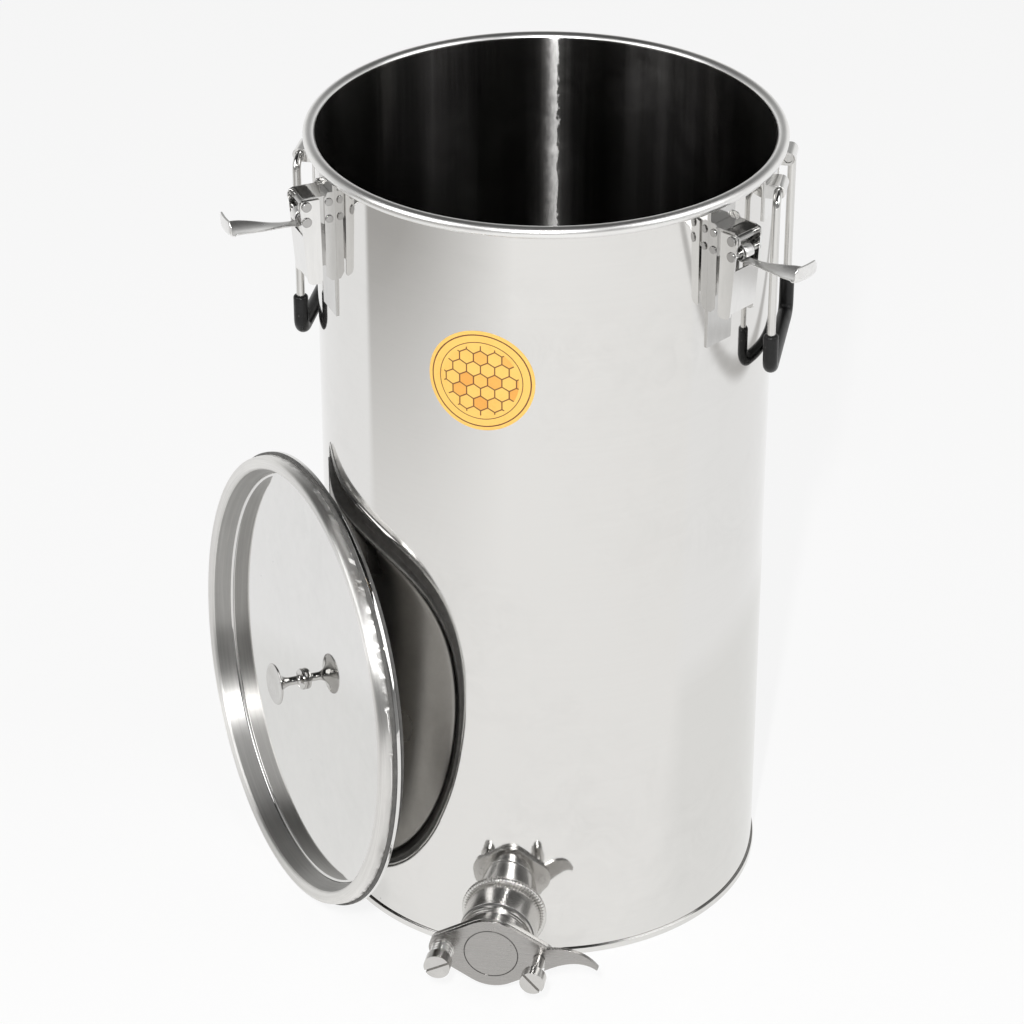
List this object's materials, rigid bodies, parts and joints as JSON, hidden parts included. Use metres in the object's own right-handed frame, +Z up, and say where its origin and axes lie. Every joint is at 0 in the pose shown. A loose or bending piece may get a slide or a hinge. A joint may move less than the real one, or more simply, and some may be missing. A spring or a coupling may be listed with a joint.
{
  "type": "honey settling tank",
  "caption": "Stainless honey settling tank with a swing gate at its foot, toggle lid clamps, drop handles and its gasketed lid standing against the wall.",
  "frame": {"origin": "centre of the foot ring, on the floor that the tank stands on", "axes": "+Z up along the tank's axis, -Y out of the gate, +X to the right seen from the gate's side"},
  "size_m": [0.4731, 0.4738, 0.59],
  "materials": {
    "wall_steel": "polished",
    "fitting_steel": "bright",
    "seal_rubber": "satin",
    "grip_plastic": "satin",
    "label_film": "printed film"
  },
  "bodies": {
    "tank": {"tank_shell": "wall_steel", "tank_bottom": "wall_steel", "outlet_stub": "fitting_steel", "outlet_seal": "seal_rubber", "gate_body": "fitting_steel", "gate_seal": "seal_rubber", "gate_pivot_screw": "fitting_steel", "gate_washer": "fitting_steel", "gate_spring": "fitting_steel", "clamp_left_base": "fitting_steel", "clamp_left_bridge": "fitting_steel", "clamp_left_lever_pin": "fitting_steel", "clamp_right_base": "fitting_steel", "clamp_right_bridge": "fitting_steel", "clamp_right_lever_pin": "fitting_steel", "clamp_rear_base": "fitting_steel", "clamp_rear_bridge": "fitting_steel", "clamp_rear_lever_pin": "fitting_steel", "clamp_rivets": "fitting_steel", "handle_left_bracket": "fitting_steel", "handle_right_bracket": "fitting_steel", "label": "label_film"},
    "gate_shutter": {"gate_shutter": "fitting_steel"},
    "gate_clamp_screw": {"gate_clamp_screw": "fitting_steel"},
    "clamp_left_lever": {"clamp_left_lever": "fitting_steel", "clamp_left_hook_pin": "fitting_steel"},
    "clamp_left_hook": {"clamp_left_hook": "fitting_steel"},
    "clamp_right_lever": {"clamp_right_lever": "fitting_steel", "clamp_right_hook_pin": "fitting_steel"},
    "clamp_right_hook": {"clamp_right_hook": "fitting_steel"},
    "clamp_rear_lever": {"clamp_rear_lever": "fitting_steel", "clamp_rear_hook_pin": "fitting_steel"},
    "clamp_rear_hook": {"clamp_rear_hook": "fitting_steel"},
    "handle_left": {"handle_left_wire": "fitting_steel", "handle_left_grip": "grip_plastic"},
    "handle_right": {"handle_right_wire": "fitting_steel", "handle_right_grip": "grip_plastic"},
    "lid": {"lid_pan": "wall_steel", "lid_gasket": "seal_rubber", "lid_carrier": "fitting_steel", "lid_knob": "fitting_steel", "lid_washer": "fitting_steel", "lid_screw": "fitting_steel"}
  },
  "joints": [
    {"name": "gate_swing", "type": "hinge", "parent": "tank", "child": "gate_shutter", "pos_m": [-0.035, -0.2081, 0.035], "axis": [0, -1, 0], "range_deg": [0, 102]},
    {"name": "gate_clamp_screw_feed", "type": "slide", "parent": "tank", "child": "gate_clamp_screw", "axis": [0, 1, 0], "range_m": [0, 0.0195]},
    {"name": "clamp_left_lever_swing", "type": "hinge", "parent": "tank", "child": "clamp_left_lever", "pos_m": [-0.15096, -0.09803, 0.5645], "axis": [-0.5446, 0.8387, 0], "range_deg": [0, 100]},
    {"name": "clamp_left_hook_swing", "type": "hinge", "parent": "clamp_left_lever", "child": "clamp_left_hook", "pos_m": [-0.15096, -0.09803, 0.553], "axis": [0.5446, -0.8387, 0], "range_deg": [-96, 29]},
    {"name": "clamp_right_lever_swing", "type": "hinge", "parent": "tank", "child": "clamp_right_lever", "pos_m": [0.15096, -0.09803, 0.5645], "axis": [-0.5446, -0.8387, 0], "range_deg": [0, 100]},
    {"name": "clamp_right_hook_swing", "type": "hinge", "parent": "clamp_right_lever", "child": "clamp_right_hook", "pos_m": [0.15096, -0.09803, 0.553], "axis": [0.5446, 0.8387, 0], "range_deg": [-96, 29]},
    {"name": "clamp_rear_lever_swing", "type": "hinge", "parent": "tank", "child": "clamp_rear_lever", "pos_m": [0, 0.18, 0.5645], "axis": [1, 0, 0], "range_deg": [0, 100]},
    {"name": "clamp_rear_hook_swing", "type": "hinge", "parent": "clamp_rear_lever", "child": "clamp_rear_hook", "pos_m": [0, 0.18, 0.553], "axis": [-1, 0, 0], "range_deg": [-101, 24]},
    {"name": "handle_left_swing", "type": "hinge", "parent": "tank", "child": "handle_left", "pos_m": [-0.166, 0, 0.569], "axis": [0, 1, 0], "range_deg": [0, 120]},
    {"name": "handle_right_swing", "type": "hinge", "parent": "tank", "child": "handle_right", "pos_m": [0.166, 0, 0.569], "axis": [0, -1, 0], "range_deg": [0, 120]},
    {"name": "lid_take_away", "type": "slide", "parent": "tank", "child": "lid", "axis": [-0.7006, -0.509, 0.5], "range_m": [0, 0.3]}
  ]
}
